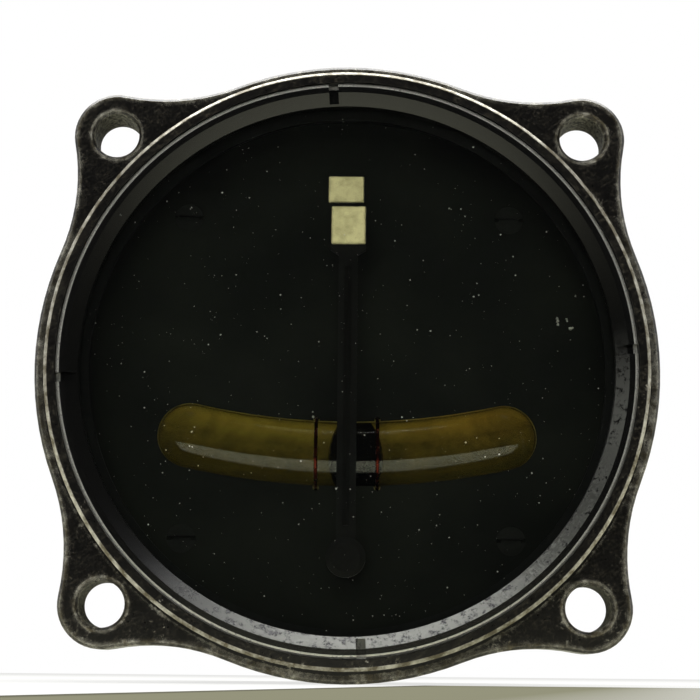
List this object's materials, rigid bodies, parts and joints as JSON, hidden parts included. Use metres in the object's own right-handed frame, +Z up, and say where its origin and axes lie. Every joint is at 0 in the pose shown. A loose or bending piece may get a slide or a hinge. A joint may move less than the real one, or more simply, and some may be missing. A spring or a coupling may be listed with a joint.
{
  "type": "aircraft turn and bank indicator",
  "caption": "Round panel instrument in a flanged case: a gyro tilts in its gimbal and swings a pointer over the dial, and a ball rolls in a curved liquid tube below.",
  "frame": {"origin": "centre of the four mounting holes, in the plane of the flange's front face, which meets the panel", "axes": "+X to the right seen from the front, +Y from the glass to the rear cover, +Z up"},
  "size_m": [0.0828, 0.111, 0.0828],
  "materials": {
    "black_enamel": "gloss enamel, worn at the edges",
    "cover_glass": "clear",
    "tube_glass": "clear, filled with aged liquid",
    "ball_glass": "polished black",
    "rubber": "matte",
    "fibre": "matte fibre",
    "dial_black": "matte",
    "black_steel": "blackened",
    "lume": "matte",
    "copper_wire": "satin",
    "bright_steel": "satin",
    "brass": "satin",
    "aluminium": "satin",
    "rear_black": "gloss enamel"
  },
  "bodies": {
    "case": {"case_body": "black_enamel", "retaining_ring": "black_enamel", "cover_glass": "cover_glass", "inclinometer_tube": "tube_glass", "glass_gasket": "rubber", "rear_gasket": "rubber", "plug_washer": "fibre", "dial_plate": "dial_black", "tube_bracket": "dial_black", "dial_screws": "black_steel", "bracket_screws": "black_steel", "top_index": "lume", "tube_backing": "lume", "marker_wires": "copper_wire", "plate_screws": "bright_steel", "damper_screws": "bright_steel", "damper_valve_screw": "bright_steel", "centring_spring": "bright_steel", "sensitivity_screw": "bright_steel", "gimbal_stop_pins": "bright_steel", "rear_screws": "bright_steel", "inlet_snap_ring": "bright_steel", "inlet_screen": "bright_steel", "pointer_bush": "brass", "gimbal_bearing_front": "brass", "gimbal_bearing_rear": "brass", "damper_cylinder": "brass", "air_nozzle": "brass", "nozzle_nut": "brass", "pillar_nuts": "brass", "suction_fitting": "brass", "screen_support": "brass", "dial_pillars": "aluminium", "mechanism_plate": "aluminium", "frame_pillars": "aluminium", "rear_frame_plate": "aluminium", "spring_anchor": "aluminium", "rear_cover": "rear_black", "access_plug": "rear_black"},
    "gimbal": {"gimbal_frame": "aluminium", "gimbal_pivots": "bright_steel", "drive_arm": "bright_steel", "spring_post": "bright_steel", "link_arm": "bright_steel", "gimbal_counterweight": "brass", "rotor_bearings": "brass", "bearing_caps": "brass"},
    "rotor": {"rotor_wheel": "brass", "rotor_shaft": "bright_steel"},
    "pointer": {"turn_pointer": "black_steel", "pointer_lume": "lume", "pointer_hub": "black_steel", "pointer_staff": "bright_steel", "fork_lever": "aluminium", "pointer_balance_weight": "brass"},
    "ball": {"inclinometer_ball": "ball_glass"},
    "piston": {"damper_piston": "aluminium"}
  },
  "joints": [
    {"name": "gimbal_tilt", "type": "hinge", "parent": "case", "child": "gimbal", "pos_m": [0, 0.0535, 0], "axis": [0, 1, 0], "range_deg": [-10, 10], "stiffness_Nm_per_rad": 0.025, "deforming": ["centring_spring"]},
    {"name": "rotor_spin", "type": "hinge", "parent": "gimbal", "child": "rotor", "pos_m": [0, 0.0535, 0], "axis": [1, 0, 0], "continuous": true},
    {"name": "pointer_swing", "type": "hinge", "parent": "case", "child": "pointer", "pos_m": [0, 0.0046, -0.0249], "axis": [0, 1, 0], "range_deg": [-22, 22]},
    {"name": "damper_slide", "type": "slide", "parent": "case", "child": "piston", "axis": [0, 0, 1], "range_m": [-0.0036, 0.0036]},
    {"name": "ball_roll", "type": "hinge", "parent": "case", "child": "ball", "pos_m": [0, 0.011, 0.0874], "axis": [0, 1, 0], "range_deg": [-11.7, 13.1]}
  ],
  "couplings": [
    {"joint": "pointer_swing", "follows": "gimbal_tilt", "ratio": -2.2},
    {"joint": "damper_slide", "follows": "gimbal_tilt", "m_per_rad": -0.0204}
  ]
}
